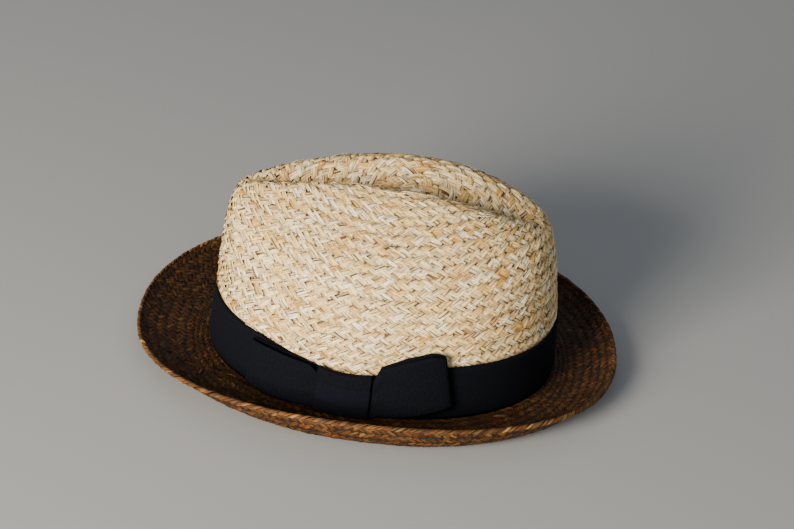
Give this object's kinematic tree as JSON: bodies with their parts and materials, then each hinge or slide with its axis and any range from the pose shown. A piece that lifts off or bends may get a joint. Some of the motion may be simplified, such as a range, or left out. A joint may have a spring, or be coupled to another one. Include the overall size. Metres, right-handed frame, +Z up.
{
  "type": "straw hat",
  "caption": "Straw hat with a creased oval crown pinched at the front, a curled brim, a ribbon band and a flat ribbon bow on one side.",
  "frame": {"origin": "on the surface that the hat rests on, under the middle of its overall length and width", "axes": "+Z up, -Y the way the wearer faces, +X the wearer's left, where the bow is"},
  "size_m": [0.2404, 0.2808, 0.112],
  "materials": {
    "natural_straw": "plaited natural raffia, satin",
    "dyed_straw": "plaited raffia dyed brown, satin",
    "band_ribbon": "black grosgrain, matt",
    "bow_ribbon": "black grosgrain, matt"
  },
  "bodies": {
    "root": {"crown": "natural_straw", "brim": "dyed_straw", "hat_band": "band_ribbon", "bow_front_loop": "bow_ribbon", "bow_back_loop": "bow_ribbon", "bow_knot": "bow_ribbon"}
  },
  "joints": []
}
